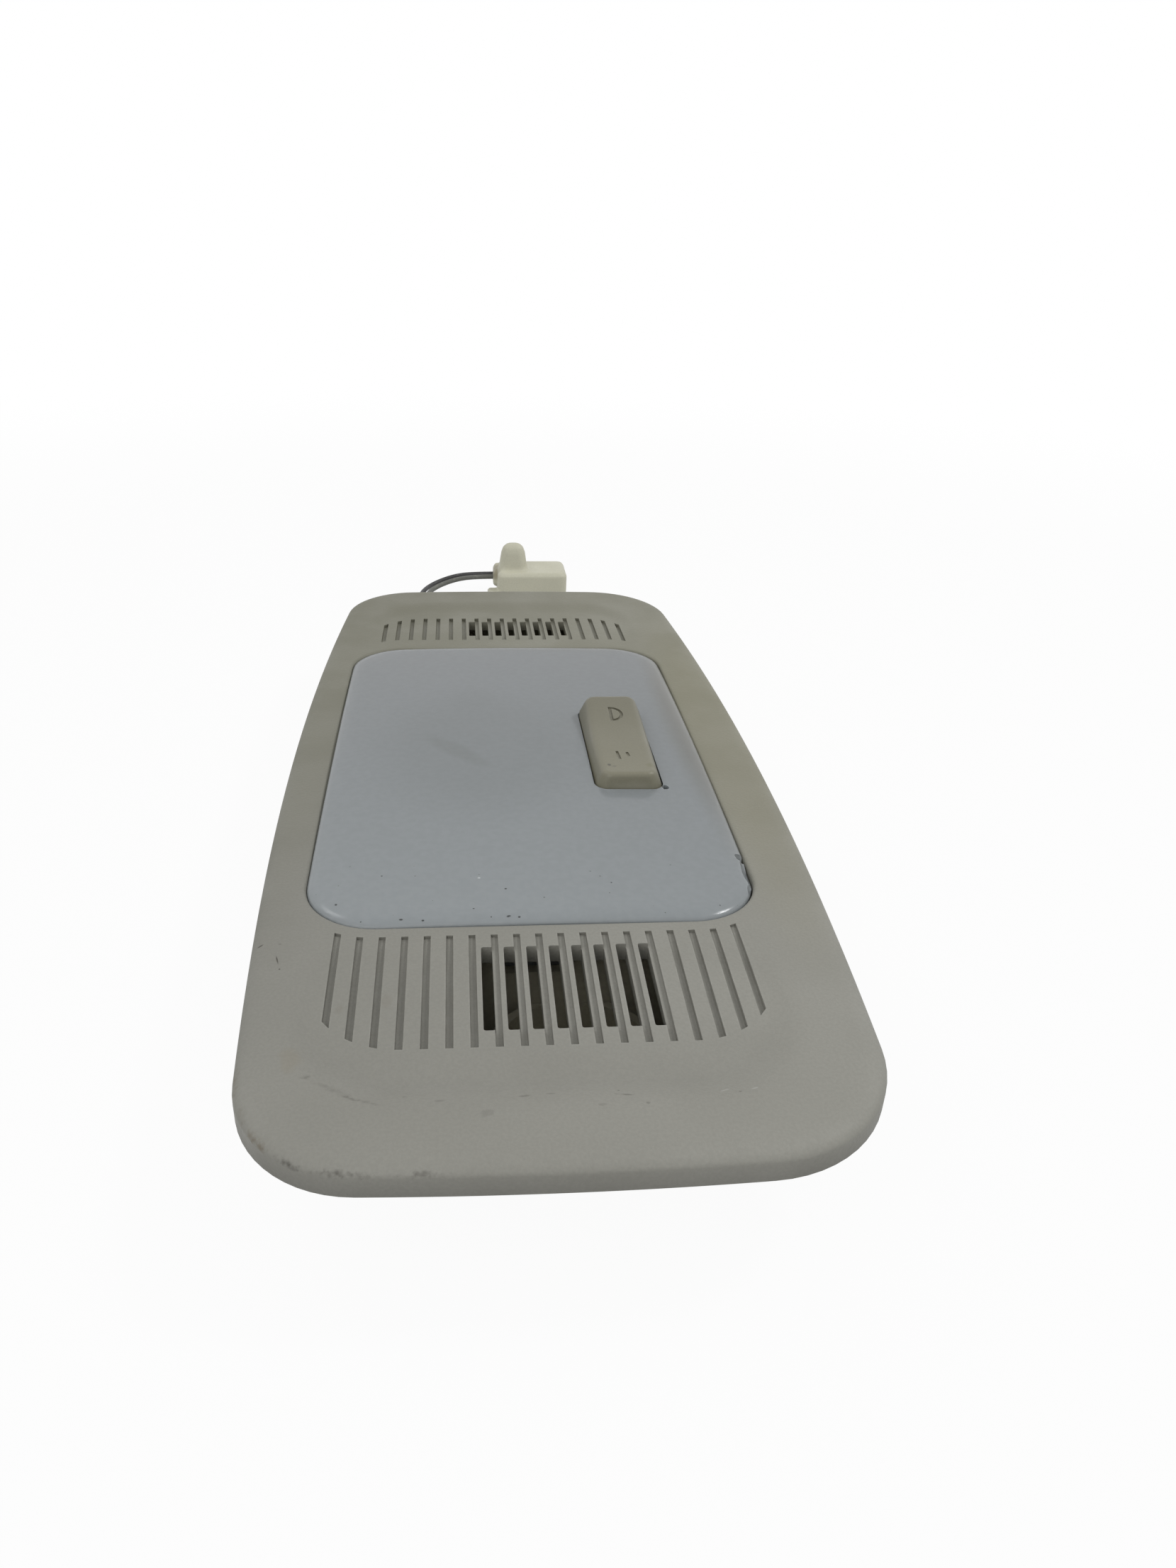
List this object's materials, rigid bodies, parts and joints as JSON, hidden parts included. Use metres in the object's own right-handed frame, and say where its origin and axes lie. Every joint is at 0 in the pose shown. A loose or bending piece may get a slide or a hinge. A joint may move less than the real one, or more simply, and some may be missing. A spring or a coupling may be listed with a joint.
{
  "type": "car dome light",
  "caption": "Flush car ceiling lamp with a moulded bezel, slotted end grilles, a milky snap-in lens, a tilting rocker switch, a rear tray with bulb, and a wiring pigtail with connector",
  "frame": {"origin": "middle of the back face of the rear housing, under the middle of the bezel outline", "axes": "X across the lamp towards the rocker's side, Y along the lamp towards the wiring end, Z out of the visible face"},
  "size_m": [0.102, 0.3088, 0.0329],
  "materials": {
    "bezel_plastic": "fine-grained beige moulding, worn and scuffed",
    "lens_milky": "glossy milky diffuser, dusty near its edge",
    "rocker_plastic": "satin beige moulding",
    "housing_plastic": "plain pale moulding",
    "contact_brass": "dull stamped strip",
    "screw_steel": "zinc plated",
    "bulb_glass": "clear closed envelope",
    "cap_metal": "plated",
    "shield_aluminium": "bright rolled sheet",
    "clip_steel": "spring steel",
    "grommet_rubber": "soft black",
    "wire_grey_skin": "dull insulation",
    "wire_black_skin": "dull insulation",
    "connector_plastic": "cream moulding"
  },
  "bodies": {
    "lamp": {"bezel": "bezel_plastic", "lens": "lens_milky", "rear_housing": "housing_plastic", "switch_case": "housing_plastic", "switch_blade": "contact_brass", "switch_terminals": "contact_brass", "housing_screws": "screw_steel", "bulb_glass": "bulb_glass", "bulb_caps": "cap_metal", "bulb_contact_left": "contact_brass", "bulb_contact_right": "contact_brass", "contact_rivets": "cap_metal", "heat_shield": "shield_aluminium", "clip_left": "clip_steel", "clip_right": "clip_steel", "wire_grommet": "grommet_rubber", "wire_grey": "wire_grey_skin", "wire_black": "wire_black_skin", "connector_body": "connector_plastic", "connector_terminals": "contact_brass"},
    "switch_rocker": {"rocker": "rocker_plastic"}
  },
  "joints": [
    {"name": "rocker_tilt", "type": "hinge", "parent": "lamp", "child": "switch_rocker", "pos_m": [0.0194, -0.0017, 0.0195], "axis": [-1, 0, 0], "range_deg": [0, 6.4]}
  ]
}
